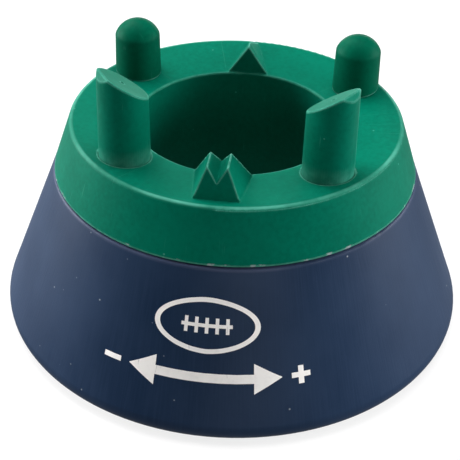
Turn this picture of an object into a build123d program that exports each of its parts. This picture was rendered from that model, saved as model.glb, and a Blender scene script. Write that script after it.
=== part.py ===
"""A twist-to-raise kicking tee for a rugby ball, in millimetres.

The origin is on the axis, on the ground. +Z is up and -Y is the kicker's side. A soft base stands on the
ground. A soft cap turns on it by a coarse thread and so rises, and the ball leans on the cap's four pegs.
"""

from build123d import *
from math import asin, atan2, cos, degrees, hypot, radians, sin, tan
import os

os.makedirs("parts", exist_ok=True)

# Outer form
BASE_RADIUS = 75.0          # widest circle of the base
FOOT_ROUND = 4.8            # rounding between the cone and the ground
SEAM_RADIUS = 57.4          # where the cap meets the base
SEAM_HEIGHT = 51.5
RIM_RADIUS = 51.8           # outer edge of the cap's plate
RIM_HEIGHT = 68.2
WELL_RADIUS = 31.3          # the hole for the ball's nose
WELL_EDGE_HEIGHT = 66.3     # the plate is dished towards the well
RIM_ROUND = 1.0
WELL_EDGE_ROUND = 0.5
SEAM_ROUND = 0.9

# Base
BASE_WALL = 5.0
DECK_THICKNESS = 5.0
FOOT_INNER_RADIUS = 64.5
FOOT_BEAD_HEIGHT = 6.0
FOOT_BLEND_HEIGHT = 12.0
FOOT_GROOVE_RADIUS = 67.2
FOOT_GROOVE_WIDTH = 1.2
FOOT_GROOVE_DEPTH = 1.0
BOSS_THICKNESS = 4.0
BOSS_BOTTOM = 34.0
RIB_COUNT = 8
RIB_THICKNESS = 3.0
RIB_INNER_HEIGHT = 26.0     # the ribs' lower edge, at the boss and at the wall
RIB_OUTER_HEIGHT = 8.0

# Cap
LINING_THICKNESS = 1.7
PLATE_UNDERSIDE = 62.0
SKIRT_FOOT_INNER = 51.3
SKIRT_TOP_INNER = 48.0
SEAM_GAP = 0.5              # open joint round the outside of the seam
SEAM_GAP_DEPTH = 1.5
TUBE_BOTTOM = 8.0

# Thread between the sleeve and the collar
LEAD = 27.0                 # rise in one full turn
STARTS = 3
LIFT = 24.0                 # full travel
SLEEVE_RADIUS = 35.4        # core of the male thread
THREAD_DEPTH = 1.9
THREAD_ROOT_WIDTH = 3.6
THREAD_TIP_WIDTH = 2.2
THREAD_CLEARANCE = 0.4
THREAD_LOW = 14.0
THREAD_HIGH = 50.0
FLANGE_THICKNESS = 2.4
SLEEVE_FLANGE_RADIUS = 47.6
COLLAR_RADIUS = 40.5
COLLAR_FLANGE_RADIUS = 46.0
COLLAR_FLANGE_THICKNESS = 2.0
KEY_COUNT = 4
KEY_WIDTH = 8.0
KEY_REACH = 48.0            # radius of the keys that stop the collar turning in the base

# Stop ring on the sleeve's foot
RING_BOTTOM = 9.5
RING_THICKNESS = 2.6
RING_INNER_RADIUS = 34.6
RING_OUTER_RADIUS = 39.2
RING_SPLIT = 6.0
RING_PLAY = 0.2             # between the ring and its groove, above and below
RING_GROOVE_RADIUS = 34.2
STOP_CLEARANCE = 0.1

# Pegs
TALL_PEG_X, TALL_PEG_Y = 30.1, -27.0
TALL_FOOT_RADIUS = 7.75
TALL_TOP_RADIUS = 7.4
TALL_CENTRE_HEIGHT = 91.2   # height of the slanted face on the peg's own axis
SLANT_ANGLE = 34.5          # the slanted face rises outwards
SLANT_BEARING = 32.0        # its direction, from the X axis towards the kicker
BEVEL_OFFSET = 5.8          # the bevel at the tip starts this far from the peg's axis
BEVEL_ANGLE = 48.0
SOCKET_GAP = 0.1
SOCKET_LIP_ROUND = 0.3
SOCKET_FLOOR = 66.2
DOME_PEG_X, DOME_PEG_Y = 35.9, 25.6
DOME_FOOT_RADIUS = 7.5
DOME_TOP_RADIUS = 7.2
DOME_APEX = 85.6
DOME_SPHERE_RADIUS = 7.7
SHOULDER_ROUND = 2.5        # between a dome and its shaft
DOME_FOOT_GAP = 0.03        # between a domed peg's foot and the plate
PEG_EDGE_ROUND = 0.4
GATE_MARK_RADIUS = 0.6      # dimple left by the mould's gate, in the middle of each slanted face
GATE_MARK_DEPTH = 0.3
STEM_RADIUS = 3.8
STEM_CLEARANCE = 0.1
BARB_RADIUS = 4.8
BARB_TIP_RADIUS = 3.0
BARB_LENGTH = 5.0

# Sights moulded on the plate
NOTCH_FOOT_Y, NOTCH_FOOT_HALF = -48.0, 7.3
NOTCH_WELL_Y, NOTCH_WELL_HALF = -31.2, 8.6
NOTCH_RIDGE_Y = (-46.2, -38.4)
NOTCH_RIDGE_HALF = 2.95
NOTCH_TOP = 77.9
NOTCH_FLOOR = (72.8, 73.7)  # height of the notch's floor at the kicker's end and at the well
BLADE_WELL_Y, BLADE_WELL_HALF = 31.4, 6.45
BLADE_RIM_Y, BLADE_RIM_HALF = 50.5, 1.3
BLADE_RIDGE_Y = (31.8, 35.2)
BLADE_TOP = 75.7
SIGHT_ROOT = 65.0           # the sights run down into the plate to this height

# Worked out from the sizes above
foot_centre = BASE_RADIUS - FOOT_ROUND
run, rise = foot_centre - SEAM_RADIUS, SEAM_HEIGHT - FOOT_ROUND
base_slope = degrees(atan2(run, rise) + asin(FOOT_ROUND / hypot(run, rise)))
skirt_slope = degrees(atan2(SEAM_RADIUS - RIM_RADIUS, RIM_HEIGHT - SEAM_HEIGHT))
lining_radius = WELL_RADIUS + LINING_THICKNESS
ring_top = RING_BOTTOM + RING_THICKNESS
collar_bottom = ring_top + LIFT + STOP_CLEARANCE
collar_bore = SLEEVE_RADIUS + THREAD_CLEARANCE
flange_underside = PLATE_UNDERSIDE - FLANGE_THICKNESS


def cone_radius(height):
    """Radius of the base's outer cone at a height."""
    return SEAM_RADIUS + (SEAM_HEIGHT - height) * tan(radians(base_slope))


def skirt_radius(height):
    """Radius of the cap's skirt at a height."""
    return SEAM_RADIUS - (height - SEAM_HEIGHT) * tan(radians(skirt_slope))


def turned(outline, rounds=()):
    """Solid of revolution of a closed (radius, height) outline, with (corner, radius) rounds."""
    face = make_face(Polyline(*outline, close=True))
    for corner, radius in rounds:
        face = fillet(face.vertices().sort_by_distance((*corner, 0))[0], radius)
    return revolve(Plane.XZ * face, Axis.Z)


def tube(inner, outer, low, high):
    """Plain ring of rectangular section."""
    return turned([(inner, low), (outer, low), (outer, high), (inner, high)])


def around(shape, count):
    """Copies of a shape turned evenly about the Z axis."""
    return [Rot(0, 0, 360 * i / count) * shape for i in range(count)]


def helical_bars(inner, outer, inner_width, outer_width, low, high):
    """One trapezoidal helical bar for each start of the right-hand thread, all in phase at z = 0."""
    path = Helix(LEAD, high - low, inner)
    section_plane = Plane(origin=path @ 0, x_dir=(1, 0, 0), z_dir=path % 0)
    depth = outer - inner
    half_in, half_out = inner_width / 2, outer_width / 2
    corners = [(0, -half_in), (depth, -half_out), (depth, half_out), (0, half_in)]
    section = section_plane * make_face(Polyline(*corners, close=True))
    bar = sweep(section, path=path, is_frenet=True)
    return around(Rot(0, 0, 360 * low / LEAD) * Pos(0, 0, low) * bar, STARTS)


def solid_from(points, faces):
    """Closed polyhedron from named points and the faces between them."""
    sides = [Face(Wire.make_polygon([points[name] for name in face.split()])) for face in faces]
    return Solid(Shell(sides))


def collar_outside():
    """The collar's outer form, with no bore: also the pocket that it fills in the base."""
    body = tube(0, COLLAR_RADIUS, collar_bottom, SEAM_HEIGHT)
    body += tube(0, COLLAR_FLANGE_RADIUS, SEAM_HEIGHT - COLLAR_FLANGE_THICKNESS, SEAM_HEIGHT)
    key = Pos(KEY_REACH / 2, 0, SEAM_HEIGHT) * Box(
        KEY_REACH, KEY_WIDTH, COLLAR_FLANGE_THICKNESS, align=(Align.CENTER, Align.CENTER, Align.MAX)
    )
    return body + around(key, KEY_COUNT)


def base_cone():
    """Hollow cone with a rounded foot, a deck under the cap, a boss round the collar and ribs."""
    outside = turned(
        [(0, 0), (cone_radius(0), 0), (SEAM_RADIUS, SEAM_HEIGHT), (0, SEAM_HEIGHT)],
        [((cone_radius(0), 0), FOOT_ROUND), ((SEAM_RADIUS, SEAM_HEIGHT), SEAM_ROUND)],
    )
    wall = BASE_WALL / cos(radians(base_slope))
    ceiling = SEAM_HEIGHT - DECK_THICKNESS
    boss_radius = COLLAR_RADIUS + BOSS_THICKNESS
    hollow = turned(
        [
            (0, 0),
            (FOOT_INNER_RADIUS, 0),
            (FOOT_INNER_RADIUS, FOOT_BEAD_HEIGHT),
            (cone_radius(FOOT_BLEND_HEIGHT) - wall, FOOT_BLEND_HEIGHT),
            (cone_radius(ceiling) - wall, ceiling),
            (boss_radius, ceiling),
            (boss_radius, BOSS_BOTTOM),
            (0, BOSS_BOTTOM),
        ]
    )
    rib_start = boss_radius - 1
    rib_outline = [
        (rib_start, ceiling + 1),
        (rib_start, RIB_INNER_HEIGHT),
        (FOOT_INNER_RADIUS + 1, RIB_OUTER_HEIGHT),
        (cone_radius(RIB_OUTER_HEIGHT), RIB_OUTER_HEIGHT),
        (cone_radius(ceiling + 1), ceiling + 1),
    ]
    rib_face = Plane.XZ * make_face(Polyline(*rib_outline, close=True))
    rib = extrude(rib_face, RIB_THICKNESS / 2, both=True) & turned(
        [(0, 0), (cone_radius(0) - wall / 2, 0), (SEAM_RADIUS - wall / 2, SEAM_HEIGHT), (0, SEAM_HEIGHT)]
    )
    bore = tube(0, COLLAR_RADIUS, 0, SEAM_HEIGHT)
    groove = tube(
        FOOT_GROOVE_RADIUS - FOOT_GROOVE_WIDTH / 2,
        FOOT_GROOVE_RADIUS + FOOT_GROOVE_WIDTH / 2,
        0,
        FOOT_GROOVE_DEPTH,
    )
    ribs = around(Rot(0, 0, 180 / RIB_COUNT) * rib, RIB_COUNT)
    return outside - hollow + ribs - bore - collar_outside() - groove


def thread_collar():
    """Rigid collar with the female thread, keyed into the base."""
    grooves = helical_bars(
        collar_bore - THREAD_CLEARANCE,
        SLEEVE_RADIUS + THREAD_DEPTH + THREAD_CLEARANCE,
        THREAD_ROOT_WIDTH + 2 * THREAD_CLEARANCE,
        THREAD_TIP_WIDTH + THREAD_CLEARANCE,
        collar_bottom - THREAD_ROOT_WIDTH,
        SEAM_HEIGHT + THREAD_ROOT_WIDTH,
    )
    return collar_outside() - tube(0, collar_bore, 0, SEAM_HEIGHT) - grooves


def thread_sleeve():
    """Rigid sleeve with the male thread, a flange under the plate and a groove for the stop ring."""
    body = tube(lining_radius, SLEEVE_RADIUS, TUBE_BOTTOM, PLATE_UNDERSIDE)
    body += tube(lining_radius, SLEEVE_FLANGE_RADIUS, flange_underside, PLATE_UNDERSIDE)
    overlap = 0.3
    body += helical_bars(
        SLEEVE_RADIUS - overlap,
        SLEEVE_RADIUS + THREAD_DEPTH,
        THREAD_ROOT_WIDTH,
        THREAD_TIP_WIDTH,
        THREAD_LOW,
        THREAD_HIGH,
    )
    body -= tube(RING_GROOVE_RADIUS, SLEEVE_RADIUS + 1, RING_BOTTOM - RING_PLAY, ring_top + RING_PLAY)
    return body - peg_places(stem_hole())


def stop_ring():
    """Split ring that meets the collar's lower end at full height."""
    gap = Pos(0, RING_OUTER_RADIUS, RING_BOTTOM) * Box(
        RING_SPLIT, RING_OUTER_RADIUS, RING_THICKNESS, align=(Align.CENTER, Align.CENTER, Align.MIN)
    )
    return tube(RING_INNER_RADIUS, RING_OUTER_RADIUS, RING_BOTTOM, ring_top) - gap


def notch_sight():
    """Wedge with twin ridges and a V notch between them, steep on the kicker's side."""
    def section(foot_y, foot_half, ridge_y):
        drop = (NOTCH_TOP - SIGHT_ROOT) / (NOTCH_TOP - WELL_EDGE_HEIGHT)
        root_y = ridge_y + (foot_y - ridge_y) * drop
        root_half = NOTCH_RIDGE_HALF + (foot_half - NOTCH_RIDGE_HALF) * drop
        return Face(
            Wire.make_polygon(
                [
                    (-root_half, root_y, SIGHT_ROOT),
                    (-NOTCH_RIDGE_HALF, ridge_y, NOTCH_TOP),
                    (NOTCH_RIDGE_HALF, ridge_y, NOTCH_TOP),
                    (root_half, root_y, SIGHT_ROOT),
                ]
            )
        )

    def notch(y, height):
        depth = NOTCH_TOP - height
        above = 2.0
        half = NOTCH_RIDGE_HALF * (depth + above) / depth
        top = NOTCH_TOP + above
        return Face(Wire.make_polygon([(0, y, height), (half, y, top), (-half, y, top)]))

    wedge = loft(
        [
            section(NOTCH_FOOT_Y, NOTCH_FOOT_HALF, NOTCH_RIDGE_Y[0]),
            section(NOTCH_WELL_Y, NOTCH_WELL_HALF, NOTCH_RIDGE_Y[1]),
        ],
        ruled=True,
    )
    cut = loft(
        [notch(NOTCH_FOOT_Y - 1, NOTCH_FLOOR[0]), notch(NOTCH_WELL_Y + 1, NOTCH_FLOOR[1])], ruled=True
    )
    return wedge - cut


def blade_sight():
    """Wedge with one ridge, steep towards the kicker and sloping away to the rim."""
    near_y, near_half = BLADE_WELL_Y, BLADE_WELL_HALF
    points = {
        "near_left": (-near_half, near_y, SIGHT_ROOT),
        "near_right": (near_half, near_y, SIGHT_ROOT),
        "foot_left": (-near_half, near_y, WELL_EDGE_HEIGHT),
        "foot_right": (near_half, near_y, WELL_EDGE_HEIGHT),
        "far_left": (-BLADE_RIM_HALF, BLADE_RIM_Y, SIGHT_ROOT),
        "far_right": (BLADE_RIM_HALF, BLADE_RIM_Y, SIGHT_ROOT),
        "rim_left": (-BLADE_RIM_HALF, BLADE_RIM_Y, RIM_HEIGHT - 0.2),
        "rim_right": (BLADE_RIM_HALF, BLADE_RIM_Y, RIM_HEIGHT - 0.2),
        "ridge_near": (0, BLADE_RIDGE_Y[0], BLADE_TOP),
        "ridge_far": (0, BLADE_RIDGE_Y[1], BLADE_TOP),
    }
    faces = [
        "near_left near_right foot_right foot_left",
        "foot_left foot_right ridge_near",
        "foot_left ridge_near ridge_far",
        "foot_left ridge_far rim_left",
        "foot_right ridge_far ridge_near",
        "foot_right rim_right ridge_far",
        "rim_left ridge_far rim_right",
        "rim_left rim_right far_right far_left",
        "near_left foot_left rim_left far_left",
        "near_right far_right rim_right foot_right",
        "near_left far_left far_right near_right",
    ]
    return solid_from(points, faces)


def cap_blank():
    """The cap with its sights, before the holes for the pegs."""
    seam_outer = skirt_radius(SEAM_HEIGHT + SEAM_GAP)
    step_radius = SEAM_RADIUS - SEAM_GAP_DEPTH
    body = turned(
        [
            (WELL_RADIUS, TUBE_BOTTOM),
            (WELL_RADIUS, WELL_EDGE_HEIGHT),
            (RIM_RADIUS, RIM_HEIGHT),
            (seam_outer, SEAM_HEIGHT + SEAM_GAP),
            (step_radius, SEAM_HEIGHT + SEAM_GAP),
            (step_radius, SEAM_HEIGHT),
            (SKIRT_FOOT_INNER, SEAM_HEIGHT),
            (SKIRT_TOP_INNER, PLATE_UNDERSIDE),
            (lining_radius, PLATE_UNDERSIDE),
            (lining_radius, TUBE_BOTTOM),
        ],
        [
            ((RIM_RADIUS, RIM_HEIGHT), RIM_ROUND),
            ((WELL_RADIUS, WELL_EDGE_HEIGHT), WELL_EDGE_ROUND),
        ],
    )
    well = tube(0, WELL_RADIUS, TUBE_BOTTOM, NOTCH_TOP)
    return body + (notch_sight() - well) + (blade_sight() - well)


def top_cap():
    """Soft cap: dished plate, skirt, well lining and sights, with a socket for each tall peg."""
    body = cap_blank()
    socket = tube(0, TALL_FOOT_RADIUS + SOCKET_GAP, SOCKET_FLOOR, RIM_HEIGHT)
    for side in (-1, 1):
        body -= Pos(side * TALL_PEG_X, TALL_PEG_Y, 0) * socket
        axis = Vector(side * TALL_PEG_X, TALL_PEG_Y, 0)
        lip = [edge for edge in body.edges() if is_socket_lip(edge, axis)]
        body = fillet(lip, SOCKET_LIP_ROUND)
    return body - peg_places(stem_hole())


def is_socket_lip(edge, axis):
    """True for the edge where a socket opens in the plate."""
    middle = edge.center(CenterOf.MASS)
    near_axis = hypot(middle.X - axis.X, middle.Y - axis.Y) < TALL_FOOT_RADIUS + SOCKET_GAP
    return near_axis and SOCKET_FLOOR + SOCKET_LIP_ROUND < middle.Z < RIM_HEIGHT


def peg_places(shape):
    """One copy of a shape at each of the four pegs."""
    tall = [Pos(side * TALL_PEG_X, TALL_PEG_Y, 0) * shape for side in (-1, 1)]
    dome = [Pos(side * DOME_PEG_X, DOME_PEG_Y, 0) * shape for side in (-1, 1)]
    return tall + dome


def stem_hole():
    """Hole for a peg's stem, through the plate and the sleeve's flange."""
    return tube(0, STEM_RADIUS + STEM_CLEARANCE, flange_underside, RIM_HEIGHT)


def peg_stem(top):
    """Stem through the plate and the flange, with a barbed head below."""
    return turned(
        [
            (0, flange_underside - BARB_LENGTH),
            (BARB_TIP_RADIUS, flange_underside - BARB_LENGTH),
            (BARB_RADIUS, flange_underside),
            (STEM_RADIUS, flange_underside),
            (STEM_RADIUS, top),
            (0, top),
        ]
    )


def above_plane(origin, tilt):
    """Everything above a plane that rises by tilt degrees towards +X, as a large block."""
    plane = Plane(
        origin=origin,
        x_dir=(cos(radians(tilt)), 0, sin(radians(tilt))),
        z_dir=(-sin(radians(tilt)), 0, cos(radians(tilt))),
    )
    return plane * Box(60, 60, 30, align=(Align.CENTER, Align.CENTER, Align.MIN))


def tall_peg(side):
    """Peg with a slanted top that matches the ball's flank, and a small bevel at its tip."""
    draft = (TALL_FOOT_RADIUS - TALL_TOP_RADIUS) / (TALL_CENTRE_HEIGHT - SOCKET_FLOOR)
    tip_height = TALL_CENTRE_HEIGHT + BEVEL_OFFSET * tan(radians(SLANT_ANGLE))
    blank_top = tip_height + 5
    body = turned(
        [
            (0, SOCKET_FLOOR),
            (TALL_FOOT_RADIUS, SOCKET_FLOOR),
            (TALL_FOOT_RADIUS - draft * (blank_top - SOCKET_FLOOR), blank_top),
            (0, blank_top),
        ]
    )
    body -= above_plane((0, 0, TALL_CENTRE_HEIGHT), SLANT_ANGLE)
    body -= above_plane((BEVEL_OFFSET, 0, tip_height), -BEVEL_ANGLE)
    top_edges = [edge for edge in body.edges() if edge.center().Z > TALL_CENTRE_HEIGHT - TALL_TOP_RADIUS]
    body = fillet(top_edges, PEG_EDGE_ROUND)
    gate_mark = Cylinder(GATE_MARK_RADIUS, 2 * GATE_MARK_DEPTH)
    body -= Pos(0, 0, TALL_CENTRE_HEIGHT) * Rot(0, -SLANT_ANGLE, 0) * gate_mark
    bearing = -SLANT_BEARING if side > 0 else 180 + SLANT_BEARING
    return Pos(side * TALL_PEG_X, TALL_PEG_Y, 0) * Rot(0, 0, bearing) * (body + peg_stem(SOCKET_FLOOR))


def dome_peg(side):
    """Shorter peg with a domed top, its foot shaped to the dished plate."""
    shoulder = DOME_APEX - DOME_SPHERE_RADIUS + (DOME_SPHERE_RADIUS**2 - DOME_TOP_RADIUS**2) ** 0.5
    shaft = turned(
        [(0, SIGHT_ROOT), (DOME_FOOT_RADIUS, SIGHT_ROOT), (DOME_TOP_RADIUS, shoulder), (0, shoulder)]
    )
    sphere = Pos(0, 0, DOME_APEX - DOME_SPHERE_RADIUS) * Sphere(DOME_SPHERE_RADIUS)
    dome = sphere & tube(0, DOME_SPHERE_RADIUS + 1, shoulder, DOME_APEX + 1)
    body = shaft + dome
    crease = [edge for edge in body.edges() if abs(edge.center(CenterOf.MASS).Z - shoulder) < 0.01]
    body = fillet(crease, SHOULDER_ROUND)
    body = Pos(side * DOME_PEG_X, DOME_PEG_Y, 0) * body
    body -= Pos(0, 0, DOME_FOOT_GAP) * cap_blank()
    stem = Pos(side * DOME_PEG_X, DOME_PEG_Y, 0) * peg_stem(WELL_EDGE_HEIGHT + 2)
    return body + stem


def main():
    """Write one STEP file for each piece."""
    pieces = {
        "base_cone": base_cone(),
        "thread_collar": thread_collar(),
        "top_cap": top_cap(),
        "thread_sleeve": thread_sleeve(),
        "stop_ring": stop_ring(),
        "tall_peg_left": tall_peg(-1),
        "tall_peg_right": tall_peg(1),
        "dome_peg_left": dome_peg(-1),
        "dome_peg_right": dome_peg(1),
    }
    for name, shape in pieces.items():
        export_step(shape, f"parts/{name}.step")


main()
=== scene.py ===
"""Looks of the twist-to-raise kicking tee, in metres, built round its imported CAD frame."""

import math

import bmesh
import bpy
from mathutils import Matrix, Vector


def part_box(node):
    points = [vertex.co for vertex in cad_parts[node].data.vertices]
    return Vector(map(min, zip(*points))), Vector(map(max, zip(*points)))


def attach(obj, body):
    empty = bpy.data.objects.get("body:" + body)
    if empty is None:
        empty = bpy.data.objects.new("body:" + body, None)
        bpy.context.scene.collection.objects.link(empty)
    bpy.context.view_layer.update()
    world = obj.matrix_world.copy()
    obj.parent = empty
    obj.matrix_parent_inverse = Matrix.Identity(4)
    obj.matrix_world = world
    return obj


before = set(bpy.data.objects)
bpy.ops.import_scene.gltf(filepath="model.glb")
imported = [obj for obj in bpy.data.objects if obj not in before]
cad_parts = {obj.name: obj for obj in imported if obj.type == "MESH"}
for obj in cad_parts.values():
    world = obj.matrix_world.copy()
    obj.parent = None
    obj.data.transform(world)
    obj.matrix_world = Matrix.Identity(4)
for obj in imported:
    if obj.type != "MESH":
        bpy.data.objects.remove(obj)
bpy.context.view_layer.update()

MM = 0.001

# Camera
CAMERA_PLACE = Vector((0.03445, -0.32236, 0.25506))
CAMERA_AIM = Vector((-0.00111, -0.00012, 0.02400))
CAMERA_ROLL = math.radians(1.5226)
CAMERA_LENS = 93.553
CAMERA_CLIP = 0.01

# Places read from the frame
BASE_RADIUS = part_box("base_cone")[1].x
SEAM_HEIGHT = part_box("base_cone")[1].z
SEAM_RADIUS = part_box("top_cap")[1].x
peg_low, peg_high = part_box("tall_peg_right")
TALL_PEG_X = (peg_low.x + peg_high.x) / 2
TALL_PEG_Y = (peg_low.y + peg_high.y) / 2
TALL_FOOT_RADIUS = (peg_high.x - peg_low.x) / 2

# Where the painted highlight lines run
RIM_RADIUS, RIM_HEIGHT = 51.3 * MM, 67.9 * MM       # on the plate's rounded outer edge
SOCKET_RADIUS = TALL_FOOT_RADIUS + 0.1 * MM         # the plate's edge round a tall peg
SIDE_HIGHLIGHT_RADIUS = TALL_FOOT_RADIUS - 0.15 * MM       # the tapering peg's side, about half way up

# Rounding of the edges, and how near a wall keeps a corner free of the painted edge highlight
SOFT_EDGE = 0.9 * MM            # green rubber
LIP_EDGE = 0.6 * MM             # navy rubber
HARD_EDGE = 0.3 * MM            # plastic and nylon
CORNER_REACH = 1.5 * MM
EDGE_SAMPLES = 6

# Widths of the painted highlight lines, and how far the chips and the lip's painted highlight lie from
# the seam
RIM_HIGHLIGHT_WIDTH = 0.70 * MM
FOOT_HIGHLIGHT_WIDTH, FOOT_HIGHLIGHT_FADE = 0.35 * MM, 0.2 * MM
SIDE_HIGHLIGHT_WIDTH, SIDE_HIGHLIGHT_FADE = 0.7 * MM, 0.5 * MM
CHIP_RISE, CHIP_WIDTH = 0.5 * MM, 0.8 * MM
LIP_DROP, LIP_WIDTH = 0.3 * MM, 1.1 * MM

# Cell sizes of the specks, and the relief of each surface
SCUFF_CELL = 4.6 * MM
LINT_CELL = 4.2 * MM
RELIEF_STRENGTH = 0.6
RUBBER_RELIEF = 0.05 * MM
NYLON_RELIEF = 0.04 * MM
PLASTIC_RELIEF = 0.02 * MM
INK_RELIEF = 0.02 * MM
FLOOR_RELIEF = 0.01 * MM

# Colours, linear
GREEN = (0.0002, 0.124, 0.076)
GREEN_DARK = (0.0001, 0.100, 0.061)
# GREEN_PALE serves the painted highlights and also the real scratches and scuffs
GREEN_PALE = (0.085, 0.33, 0.25)
GREEN_GLOSS = (0.12, 0.90, 0.72)
DOME_GREEN = (0.0002, 0.078, 0.043)
DOME_GREEN_DARK = (0.0001, 0.062, 0.034)
NAVY = (0.006, 0.020, 0.052)
NAVY_PALE = (0.014, 0.032, 0.072)
NAVY_LIP_HIGHLIGHT = (0.053, 0.066, 0.119)
# pale colour of real lint and chips, and of the navy's painted edge highlight
LINT_AND_HIGHLIGHT = (0.36, 0.40, 0.43)
BLACK_NYLON = (0.01, 0.0106, 0.0119)
BLACK_NYLON_PALE = (0.0175, 0.0181, 0.02)
BLACK_NYLON_HIGHLIGHT = (0.044, 0.044, 0.047)
PRINT_WHITE = (0.96, 0.93, 0.90)
PRINT_THIN = (0.70, 0.67, 0.66)
FLOOR = (0.181, 0.181, 0.181)
FLOOR_DARK = (0.175, 0.175, 0.175)
FLOOR_GLOW = 0.80
WHITE = (1.0, 1.0, 1.0, 1.0)


# ---------------------------------------------------------------- materials


class Shader:
    """Short calls for building one material's nodes."""

    def __init__(self, name):
        self.material = bpy.data.materials.new("look_" + name)
        self.material.use_nodes = True
        self.tree = self.material.node_tree
        self.surface = self.tree.nodes["Principled BSDF"]
        place = self.tree.nodes.new("ShaderNodeTexCoord")
        self.place = place.outputs["Object"]

    def node(self, kind, **settings):
        """New node with its properties set."""
        made = self.tree.nodes.new(kind)
        for key, value in settings.items():
            setattr(made, key, value)
        return made

    def link(self, source, target):
        """Join an output to an input."""
        self.tree.links.new(source, target)

    def set(self, **values):
        """Set the surface's own sockets to uniform values."""
        for key, value in values.items():
            self.surface.inputs[key.replace("_", " ")].default_value = value

    def noise(self, scale, detail=3.0, roughness=0.5, vector=None):
        """Smooth noise, in object coordinates unless others are given."""
        made = self.node("ShaderNodeTexNoise")
        made.inputs["Scale"].default_value = scale
        made.inputs["Detail"].default_value = detail
        made.inputs["Roughness"].default_value = roughness
        self.link(vector or self.place, made.inputs["Vector"])
        return made.outputs["Fac"]

    def ramp(self, value, low, high, out_low=0.0, out_high=1.0):
        """Map a value from low..high to out_low..out_high, clamped."""
        made = self.node("ShaderNodeMapRange")
        made.inputs["From Min"].default_value = low
        made.inputs["From Max"].default_value = high
        made.inputs["To Min"].default_value = out_low
        made.inputs["To Max"].default_value = out_high
        self.link(value, made.inputs["Value"])
        return made.outputs["Result"]

    def math(self, operation, first, second):
        """Arithmetic on two values, each a socket or a number."""
        made = self.node("ShaderNodeMath", operation=operation)
        for socket, value in zip(made.inputs, (first, second)):
            if isinstance(value, (int, float)):
                socket.default_value = value
            else:
                self.link(value, socket)
        return made.outputs[0]

    def times(self, first, second):
        """Product of two values."""
        return self.math("MULTIPLY", first, second)

    def plus(self, first, second):
        """Sum of two values."""
        return self.math("ADD", first, second)

    def larger(self, first, second):
        """Larger of two values."""
        return self.math("MAXIMUM", first, second)

    def mix(self, factor, first, second):
        """Colour that goes from first to second as factor rises."""
        made = self.node("ShaderNodeMix", data_type="RGBA")
        colours = [socket for socket in made.inputs if socket.type == "RGBA"]
        self.link(factor, made.inputs["Factor"])
        for socket, value in zip(colours, (first, second)):
            if isinstance(value, tuple):
                socket.default_value = (*value, 1.0)
            else:
                self.link(value, socket)
        return next(socket for socket in made.outputs if socket.type == "RGBA")

    def specks(self, cell, size, share):
        """Mask of small round specks, one in a share of the cells."""
        made = self.node("ShaderNodeTexVoronoi")
        made.inputs["Scale"].default_value = 1.0 / cell
        self.link(self.place, made.inputs["Vector"])
        near = self.ramp(made.outputs["Distance"], size, size * 0.5)
        split = self.node("ShaderNodeSeparateColor")
        self.link(made.outputs["Color"], split.inputs["Color"])
        chosen = self.math("LESS_THAN", split.outputs["Red"], share)
        return self.times(near, chosen)

    def axes(self):
        """Node with the three object coordinates as separate outputs."""
        split = self.node("ShaderNodeSeparateXYZ")
        self.link(self.place, split.inputs["Vector"])
        return split

    def around_axis(self, stretch_round, stretch_up):
        """Coordinates that run round the axis and up it, for marks that follow the turned form."""
        split = self.axes()
        angle = self.math("ARCTAN2", split.outputs["X"], self.times(split.outputs["Y"], -1.0))
        joined = self.node("ShaderNodeCombineXYZ")
        self.link(self.times(angle, stretch_round), joined.inputs["X"])
        self.link(self.times(split.outputs["Z"], stretch_up), joined.inputs["Z"])
        return joined.outputs["Vector"]

    def from_upright(self, x, y):
        """Distance from the upright line through x and y."""
        split = self.axes()
        flat = self.node("ShaderNodeCombineXYZ")
        self.link(self.math("SUBTRACT", split.outputs["X"], x), flat.inputs["X"])
        self.link(self.math("SUBTRACT", split.outputs["Y"], y), flat.inputs["Y"])
        length = self.node("ShaderNodeVectorMath", operation="LENGTH")
        self.link(flat.outputs["Vector"], length.inputs[0])
        return length.outputs["Value"]

    def near_ring(self, radius, height, width):
        """1 on a level circle about the axis, falling to 0 at a distance of width."""
        out = self.math("SUBTRACT", self.from_upright(0.0, 0.0), radius)
        up = self.math("SUBTRACT", self.axes().outputs["Z"], height)
        squared = self.plus(self.times(out, out), self.times(up, up))
        return self.ramp(squared, width * width, 0.0)

    def upright_band(self, x, y, low, high, fade):
        """1 between two distances from an upright line, falling to 0 over fade on each side."""
        away = self.from_upright(x, y)
        return self.times(self.ramp(away, low - fade, low), self.ramp(away, high + fade, high))

    def band_pair(self, x, y, low, high, fade):
        """The same upright band on both sides of the tee."""
        return self.larger(*[self.upright_band(side * x, y, low, high, fade) for side in (-1, 1)])

    def rounded_edges(self, radius):
        """Normal with every edge rounded off by a small radius."""
        bevel = self.node("ShaderNodeBevel", samples=EDGE_SAMPLES)
        bevel.inputs["Radius"].default_value = radius
        return bevel.outputs["Normal"]

    def edge_mask(self, rounded):
        """1 on sharp outside edges, 0 away from them and in inside corners."""
        true_normal = self.node("ShaderNodeNewGeometry").outputs["Normal"]
        product = self.node("ShaderNodeVectorMath", operation="DOT_PRODUCT")
        self.link(rounded, product.inputs[0])
        self.link(true_normal, product.inputs[1])
        edge = self.ramp(product.outputs["Value"], low=0.998, high=0.95)
        open_sky = self.node("ShaderNodeAmbientOcclusion", samples=EDGE_SAMPLES, only_local=True)
        open_sky.inputs["Distance"].default_value = CORNER_REACH
        return self.times(edge, self.ramp(open_sky.outputs["AO"], low=0.82, high=0.97))

    def finish(self, colour, roughness, relief, depth, rounded=None):
        """Join colour, roughness and relief to the surface."""
        self.link(colour, self.surface.inputs["Base Color"])
        self.link(roughness, self.surface.inputs["Roughness"])
        bump = self.node("ShaderNodeBump")
        bump.inputs["Strength"].default_value = RELIEF_STRENGTH
        bump.inputs["Distance"].default_value = depth
        self.link(relief, bump.inputs["Height"])
        if rounded is not None:
            self.link(rounded, bump.inputs["Normal"])
        self.link(bump.outputs["Normal"], self.surface.inputs["Normal"])
        return self.material


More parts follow.
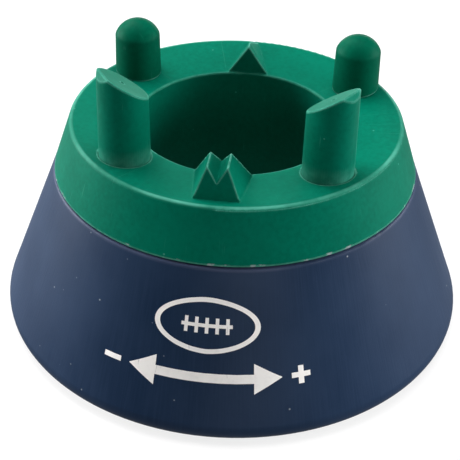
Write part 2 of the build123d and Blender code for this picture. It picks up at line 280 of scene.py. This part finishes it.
def green_painted_highlights(s, rounded, cloudy, patchy):
    """How pale the green rubber is painted where highlights fall: its sharp edges, the rim, the plate
    round the tall peg feet and the outer side of each tall peg.
    """
    # painted highlight along the sharp outside edges, in patches
    edges = s.times(s.edge_mask(rounded), s.ramp(patchy, low=0.34, high=0.58, out_low=0.50, out_high=1.0))
    # painted highlight along the plate's rim
    rim_ring = s.near_ring(RIM_RADIUS, RIM_HEIGHT, RIM_HIGHLIGHT_WIDTH)
    rim = s.times(rim_ring, s.ramp(cloudy, low=0.34, high=0.58, out_low=0.95, out_high=0.25))
    # painted highlight on the plate's edge round each tall peg's foot
    feet = s.band_pair(TALL_PEG_X, TALL_PEG_Y, SOCKET_RADIUS, SOCKET_RADIUS + FOOT_HIGHLIGHT_WIDTH, FOOT_HIGHLIGHT_FADE)
    foot = s.times(feet, s.ramp(patchy, low=0.38, high=0.58, out_low=0.45, out_high=1.0))
    # painted highlight down the outer side of each tall peg
    side_bands = s.band_pair(TALL_PEG_X + SIDE_HIGHLIGHT_RADIUS, TALL_PEG_Y, 0, SIDE_HIGHLIGHT_WIDTH, SIDE_HIGHLIGHT_FADE)
    side_highlight = s.times(side_bands, s.ramp(patchy, low=0.38, high=0.60, out_low=0.2, out_high=0.6))
    return s.larger(s.larger(edges, rim), s.larger(foot, side_highlight))


def green_rubber(name="green_rubber", green=GREEN, shade=GREEN_DARK, gloss=0.045):
    """Matt moulded rubber: soft cloudiness, painted highlights on its edges, rim, peg feet and peg sides,
    a few scratches and fine grain.
    """
    s = Shader(name)
    rounded = s.rounded_edges(SOFT_EDGE)
    cloudy = s.noise(scale=42, detail=4, roughness=0.6)
    patchy = s.noise(scale=310, detail=4, roughness=0.6)
    fine = s.noise(scale=1100, detail=3, roughness=0.6)
    mottle = s.plus(s.times(cloudy, 0.55), s.times(s.noise(scale=700, detail=3), 0.45))
    colour = s.mix(s.ramp(mottle, low=0.40, high=0.62), green, shade)
    # painted highlights on the edges, rim, peg feet and peg sides
    colour = s.mix(green_painted_highlights(s, rounded, cloudy, patchy), colour, GREEN_PALE)
    turned = s.around_axis(stretch_round=150, stretch_up=95)
    scratches = s.noise(scale=1.0, detail=2, roughness=0.4, vector=turned)
    colour = s.mix(s.ramp(scratches, low=0.70, high=0.76, out_high=0.28), colour, GREEN_PALE)
    seam = s.near_ring(SEAM_RADIUS, SEAM_HEIGHT + CHIP_RISE, CHIP_WIDTH)
    chips = s.times(seam, s.ramp(patchy, low=0.58, high=0.64, out_high=0.9))
    colour = s.mix(chips, colour, LINT_AND_HIGHLIGHT)
    scuffs = s.times(s.specks(SCUFF_CELL, size=0.085, share=0.28), 0.5)
    colour = s.mix(scuffs, colour, GREEN_PALE)
    roughness = s.ramp(cloudy, low=0.3, high=0.75, out_low=0.42, out_high=0.56)
    grain = s.plus(s.times(fine, 0.6), s.times(patchy, 0.8))
    s.set(Specular_IOR_Level=gloss, Specular_Tint=(*GREEN_GLOSS, 1.0))
    return s.finish(colour, roughness, grain, RUBBER_RELIEF, rounded)


def navy_rubber():
    """Matt moulded rubber: faint drawn streaks, specks of lint, a painted highlight on its sharp edges
    and a painted highlight on the lip at the seam.
    """
    s = Shader("navy_rubber")
    rounded = s.rounded_edges(LIP_EDGE)
    cloudy = s.noise(scale=30, detail=4, roughness=0.55)
    fine = s.noise(scale=1000, detail=3, roughness=0.6)
    turned = s.around_axis(stretch_round=120, stretch_up=60)
    streaks = s.noise(scale=1.0, detail=3, vector=turned)
    colour = s.mix(s.ramp(cloudy, low=0.38, high=0.70), NAVY, NAVY_PALE)
    colour = s.mix(s.ramp(streaks, low=0.42, high=0.72, out_high=0.55), colour, NAVY_PALE)
    # painted highlight along the navy's sharp outside edges, in patches
    edge_highlight_patches = s.ramp(s.noise(scale=220, detail=4), low=0.35, high=0.65, out_high=0.30)
    colour = s.mix(s.times(s.edge_mask(rounded), edge_highlight_patches), colour, LINT_AND_HIGHLIGHT)
    # painted highlight on the navy lip just under the seam
    seam = s.near_ring(SEAM_RADIUS, SEAM_HEIGHT - LIP_DROP, LIP_WIDTH)
    lip = s.times(seam, s.ramp(cloudy, low=0.40, high=0.60, out_low=0.2, out_high=0.7))
    colour = s.mix(lip, colour, NAVY_LIP_HIGHLIGHT)
    lint = s.times(s.specks(LINT_CELL, size=0.080, share=0.22), 0.60)
    colour = s.mix(lint, colour, LINT_AND_HIGHLIGHT)
    roughness = s.ramp(streaks, low=0.3, high=0.75, out_low=0.42, out_high=0.54)
    grain = s.plus(s.times(fine, 0.7), streaks)
    s.set(Specular_IOR_Level=0.12)
    return s.finish(colour, roughness, grain, RUBBER_RELIEF, rounded)


def green_plastic():
    """Satin moulded plastic of the threaded sleeve, with rub marks that follow the turning and a painted
    highlight on its sharp edges.
    """
    s = Shader("green_plastic")
    rounded = s.rounded_edges(HARD_EDGE)
    turned = s.around_axis(stretch_round=3, stretch_up=1500)
    rings = s.noise(scale=1.0, detail=3, vector=turned)
    cloudy = s.noise(scale=60, detail=3)
    colour = s.mix(s.ramp(cloudy, low=0.35, high=0.7), GREEN, GREEN_DARK)
    # painted highlight along the sleeve's sharp outside edges
    colour = s.mix(s.times(s.edge_mask(rounded), 0.45), colour, GREEN_PALE)
    roughness = s.ramp(rings, low=0.3, high=0.75, out_low=0.28, out_high=0.42)
    s.set(Specular_IOR_Level=0.35)
    return s.finish(colour, roughness, rings, PLASTIC_RELIEF, rounded)


def black_nylon():
    """Fine-grained black nylon with a painted highlight along its sharp edges."""
    s = Shader("black_nylon")
    rounded = s.rounded_edges(HARD_EDGE)
    grain = s.noise(scale=1400, detail=3, roughness=0.65)
    cloudy = s.noise(scale=70, detail=3)
    colour = s.mix(s.ramp(cloudy, low=0.35, high=0.7), BLACK_NYLON, BLACK_NYLON_PALE)
    # painted highlight along the sharp outside edges
    colour = s.mix(s.times(s.edge_mask(rounded), 0.4), colour, BLACK_NYLON_HIGHLIGHT)
    roughness = s.ramp(grain, low=0.3, high=0.7, out_low=0.40, out_high=0.55)
    s.set(Specular_IOR_Level=0.3)
    return s.finish(colour, roughness, grain, NYLON_RELIEF, rounded)


def print_ink():
    """Pad-printed white ink, thin in places and lightly scuffed."""
    s = Shader("print_ink")
    thin = s.noise(scale=420, detail=5, roughness=0.65)
    turned = s.around_axis(stretch_round=60, stretch_up=160)
    scuffs = s.noise(scale=1.0, detail=4, vector=turned)
    colour = s.mix(s.ramp(thin, low=0.50, high=0.78, out_high=0.35), PRINT_WHITE, PRINT_THIN)
    colour = s.mix(s.ramp(scuffs, low=0.66, high=0.74, out_high=0.5), colour, NAVY_PALE)
    roughness = s.ramp(thin, low=0.3, high=0.7, out_low=0.45, out_high=0.62)
    s.set(Specular_IOR_Level=0.4)
    return s.finish(colour, roughness, thin, INK_RELIEF)


def floor_paint():
    """Plain pale floor, slightly mottled."""
    s = Shader("floor_paint")
    mottle = s.noise(scale=6, detail=2)
    colour = s.mix(mottle, FLOOR, FLOOR_DARK)
    roughness = s.ramp(mottle, low=0, high=1, out_low=0.9, out_high=0.95)
    s.set(Specular_IOR_Level=0.0, Emission_Color=WHITE, Emission_Strength=FLOOR_GLOW)
    return s.finish(colour, roughness, mottle, FLOOR_RELIEF)


# ---------------------------------------------------------------- shared building blocks


def linked(name, data):
    """New object in the scene."""
    made = bpy.data.objects.new(name, data)
    bpy.context.scene.collection.objects.link(made)
    return made


def mesh_object(name, build, material, smooth=True):
    """Object whose mesh is made by build(bmesh)."""
    bm = bmesh.new()
    build(bm)
    bmesh.ops.recalc_face_normals(bm, faces=bm.faces)
    data = bpy.data.meshes.new(name)
    bm.to_mesh(data)
    bm.free()
    data.materials.append(material)
    for face in data.polygons:
        face.use_smooth = smooth
    return linked(name, data)


def bridge(bm, ring, other):
    """Faces between two rings of as many points."""
    for k in range(len(ring)):
        n = (k + 1) % len(ring)
        bm.faces.new((ring[k], ring[n], other[n], other[k]))


def aimed(place, direction):
    """Transform of a camera or light at a place, looking along a direction."""
    turn = direction.to_track_quat("-Z", "Y").to_matrix().to_4x4()
    return Matrix.Translation(place) @ turn


# ---------------------------------------------------------------- the printed mark

PRINT_THICKNESS = 0.06 * MM
PRINT_SUNK = 0.02 * MM
PRINT_STEP = 1.0 * MM           # the flat shapes are cut this fine before they are laid on the cone
PRINT_ARC_RADIUS = 63.6 * MM    # about the cone's radius at the ball
PRINT_RAY_START = 1.2 * BASE_RADIUS
CUT_TOLERANCE = 1e-7
BALL_HEIGHT = 35.4 * MM
BALL_HALF_LENGTH, BALL_HALF_WIDTH = 15.4 * MM, 7.9 * MM
BALL_STROKE = 1.3 * MM
BALL_END_STROKE = 1.2 * BALL_STROKE
BALL_POINT = 1.14               # above 1 draws the ends out to a soft point
BALL_POINTS = 112
LACE_HALF_LENGTH, LACE_COUNT = 6.0 * MM, 5
LACE_OVERRUN = 1.4 * MM
LACE_HALF_STROKE, CROSS_HALF_LENGTH = 0.5 * MM, 2.2 * MM
ARROW_HEIGHT = 20.6 * MM
ARROW_HALF_LENGTH, ARROW_HALF_STROKE = 21.0 * MM, 1.3 * MM
HEAD_HALF_WIDTH, HEAD_LENGTH = 4.4 * MM, 7.6 * MM
SIGN_PLACE, SIGN_HALF_LENGTH, SIGN_HALF_STROKE = 26.2 * MM, 2.6 * MM, 0.75 * MM


def on_base(along, height):
    """Point on the base's outside: along is the way round from the kicker's side."""
    angle = along / PRINT_ARC_RADIUS
    outwards = Vector((math.sin(angle), -math.cos(angle), 0.0))
    start = outwards * PRINT_RAY_START + Vector((0, 0, height))
    found, place, normal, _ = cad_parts["base_cone"].ray_cast(start, -outwards)
    if not found:
        raise ValueError(f"no surface under the print at {along:.4f}, {height:.4f}")
    return place - normal * PRINT_SUNK


def mirrored(upper):
    """Closed outline from its upper half, given from left to right as (along, half width)."""
    return upper + [(along, -half) for along, half in reversed(upper) if half > 0]


def flat_print(outline, height):
    """Function that builds one inked shape from its flat outline and lays it on the cone."""
    def build(bm):
        bm.faces.new([bm.verts.new((along, up, 0.0)) for along, up in outline])
        left = min(along for along, _ in outline)
        right = max(along for along, _ in outline)
        for k in range(1, math.ceil((right - left) / PRINT_STEP)):
            bmesh.ops.bisect_plane(
                bm,
                geom=bm.verts[:] + bm.edges[:] + bm.faces[:],
                dist=CUT_TOLERANCE,
                plane_co=(left + k * PRINT_STEP, 0, 0),
                plane_no=(1, 0, 0),
            )
        bmesh.ops.connect_verts_concave(bm, faces=bm.faces[:])
        for vertex in bm.verts:
            vertex.co = on_base(vertex.co.x, height + vertex.co.y)

    return build


def ball_ring(bm, half_length, half_width):
    """Ring of points in the form of an oval ball seen from the side."""
    ring = []
    for k in range(BALL_POINTS):
        angle = 2 * math.pi * k / BALL_POINTS
        reach = abs(math.cos(angle)) ** BALL_POINT * math.copysign(1, math.cos(angle))
        place = on_base(half_length * reach, BALL_HEIGHT + half_width * math.sin(angle))
        ring.append(bm.verts.new(place))
    return ring


def ball_outline(bm):
    """The ball's outline, a little thicker at its two ends."""
    outer = ball_ring(bm, BALL_HALF_LENGTH, BALL_HALF_WIDTH)
    inner = ball_ring(bm, BALL_HALF_LENGTH - BALL_END_STROKE, BALL_HALF_WIDTH - BALL_STROKE)
    bridge(bm, outer, inner)


def ball_lace():
    """Upper half of the lace: a line with short crossings."""
    end = LACE_HALF_LENGTH + LACE_OVERRUN
    upper = [(-end, LACE_HALF_STROKE)]
    for k in range(LACE_COUNT):
        middle = -LACE_HALF_LENGTH + 2 * LACE_HALF_LENGTH * k / (LACE_COUNT - 1)
        near, far = middle - LACE_HALF_STROKE, middle + LACE_HALF_STROKE
        upper += [(near, LACE_HALF_STROKE), (near, CROSS_HALF_LENGTH)]
        upper += [(far, CROSS_HALF_LENGTH), (far, LACE_HALF_STROKE)]
    return upper + [(end, LACE_HALF_STROKE)]


def turn_arrow():
    """Upper half of the double arrow: the cap turns both ways."""
    neck = ARROW_HALF_LENGTH - HEAD_LENGTH
    left = [(-ARROW_HALF_LENGTH, 0.0), (-neck, HEAD_HALF_WIDTH), (-neck, ARROW_HALF_STROKE)]
    return left + [(-along, half) for along, half in reversed(left)]


def plus_sign():
    """Upper half of the plus: this way raises the cap."""
    low, high = SIGN_PLACE - SIGN_HALF_LENGTH, SIGN_PLACE + SIGN_HALF_LENGTH
    near, far = SIGN_PLACE - SIGN_HALF_STROKE, SIGN_PLACE + SIGN_HALF_STROKE
    thin, tall = SIGN_HALF_STROKE, SIGN_HALF_LENGTH
    return [(low, thin), (near, thin), (near, tall), (far, tall), (far, thin), (high, thin)]


def minus_sign():
    """Upper half of the minus: this way lowers the cap."""
    return [(-SIGN_PLACE + side * SIGN_HALF_LENGTH, SIGN_HALF_STROKE) for side in (-1, 1)]


def add_print(ink):
    """The generic mark on the base: an oval ball over a turning arrow with its two signs."""
    marks = {
        "print_ball_outline": ball_outline,
        "print_ball_lace": flat_print(mirrored(ball_lace()), BALL_HEIGHT),
        "print_turn_arrow": flat_print(mirrored(turn_arrow()), ARROW_HEIGHT),
        "print_plus": flat_print(mirrored(plus_sign()), ARROW_HEIGHT),
        "print_minus": flat_print(mirrored(minus_sign()), ARROW_HEIGHT),
    }
    for name, build in marks.items():
        piece = mesh_object(name, build, ink, smooth=False)
        thicken = piece.modifiers.new("thickness", "SOLIDIFY")
        thicken.thickness = PRINT_THICKNESS + PRINT_SUNK
        thicken.offset = 1.0
        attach(piece, "base")


# ---------------------------------------------------------------- scene

LIGHT_AIM = Vector((0, 0, 0.04))
FLOOR_RADIUS, FLOOR_SEGMENTS = 2.6, 96
COVE_RADIUS, COVE_STEPS, WALL_TOP = 1.0, 9, 3.0
WORLD_BELOW, WORLD_ABOVE = 0.43, 0.016
HORIZON_FADE = 0.12


def add_camera():
    """Camera above the kicker's side, rolled slightly."""
    data = bpy.data.cameras.new("camera")
    data.lens = CAMERA_LENS
    data.clip_start = CAMERA_CLIP
    camera = linked("camera", data)
    roll = Matrix.Rotation(CAMERA_ROLL, 4, "Z")
    camera.matrix_world = aimed(CAMERA_PLACE, CAMERA_AIM - CAMERA_PLACE) @ roll
    bpy.context.scene.camera = camera


def soft_box(name, azimuth, elevation, distance, size, power):
    """Rectangular soft light aimed at the tee; azimuth runs from the kicker's side towards +X."""
    a, e = math.radians(azimuth), math.radians(elevation)
    back = Vector((math.sin(a) * math.cos(e), -math.cos(a) * math.cos(e), math.sin(e)))
    data = bpy.data.lights.new(name, "AREA")
    data.shape = "RECTANGLE"
    data.size, data.size_y = size
    data.energy = power
    light = linked(name, data)
    light.matrix_world = aimed(LIGHT_AIM + back * distance, -back)


def cove(bm):
    """Flat round floor that curves up into a wall."""
    bmesh.ops.create_circle(bm, cap_ends=True, radius=FLOOR_RADIUS, segments=FLOOR_SEGMENTS)
    ring = sorted(bm.verts, key=lambda v: math.atan2(v.co.y, v.co.x))
    angles = [math.radians(90 * k / COVE_STEPS) for k in range(1, COVE_STEPS + 1)]
    profile = [(COVE_RADIUS * math.sin(a), COVE_RADIUS * (1 - math.cos(a))) for a in angles]
    profile.append((COVE_RADIUS, WALL_TOP))
    for out, up in profile:
        places = [v.co.xy.normalized() * (FLOOR_RADIUS + out) for v in ring]
        above = [bm.verts.new((*place, up)) for place in places]
        bridge(bm, ring, above)
        ring = above


def add_floor():
    """Large pale floor. It takes shadows, and throws no light on the tee."""
    floor = mesh_object("floor", cove, floor_paint())
    floor.visible_diffuse = False
    floor.visible_glossy = False


def add_world():
    """Pale surroundings below the horizon and dim ones above it, which light the tee from below."""
    world = bpy.data.worlds.new("studio")
    bpy.context.scene.world = world
    world.use_nodes = True
    tree = world.node_tree
    place = tree.nodes.new("ShaderNodeTexCoord")
    split = tree.nodes.new("ShaderNodeSeparateXYZ")
    fade = tree.nodes.new("ShaderNodeMapRange")
    fade.inputs["From Min"].default_value = -HORIZON_FADE
    fade.inputs["From Max"].default_value = HORIZON_FADE
    fade.inputs["To Min"].default_value = WORLD_BELOW
    fade.inputs["To Max"].default_value = WORLD_ABOVE
    tree.links.new(place.outputs["Generated"], split.inputs["Vector"])
    tree.links.new(split.outputs["Z"], fade.inputs["Value"])
    tree.links.new(fade.outputs["Result"], tree.nodes["Background"].inputs["Strength"])
    tree.nodes["Background"].inputs["Color"].default_value = WHITE


def add_studio():
    """Plain soft studio light: one box overhead, one behind on the left and low ones all round."""
    bpy.context.scene.view_settings.view_transform = "Standard"
    add_world()
    soft_box("overhead", azimuth=180, elevation=80, distance=1.0, size=(0.8, 0.6), power=12.8)
    soft_box("rear_left", azimuth=-135, elevation=42, distance=0.9, size=(0.5, 0.4), power=5.9)
    soft_box("rear_low", azimuth=180, elevation=4, distance=1.1, size=(1.0, 0.22), power=2.1)
    soft_box("left", azimuth=-100, elevation=12, distance=0.85, size=(0.55, 0.34), power=13.5)
    soft_box("right", azimuth=100, elevation=12, distance=0.85, size=(0.55, 0.34), power=10.0)
    soft_box("front", azimuth=20, elevation=12, distance=0.85, size=(0.5, 0.34), power=1.9)


def dress_nodes():
    """Give every CAD node its material."""
    green, navy, plastic, nylon = green_rubber(), navy_rubber(), green_plastic(), black_nylon()
    dome = green_rubber("green_rubber_deep", DOME_GREEN, DOME_GREEN_DARK, gloss=0.03)
    finishes = {
        "base_cone": navy,
        "thread_collar": nylon,
        "stop_ring": nylon,
        "thread_sleeve": plastic,
        "dome_peg_left": dome,
        "dome_peg_right": dome,
    }
    for name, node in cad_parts.items():
        node.data.materials.clear()
        node.data.materials.append(finishes.get(name, green))


add_camera()
add_studio()
add_floor()
dress_nodes()
add_print(print_ink())
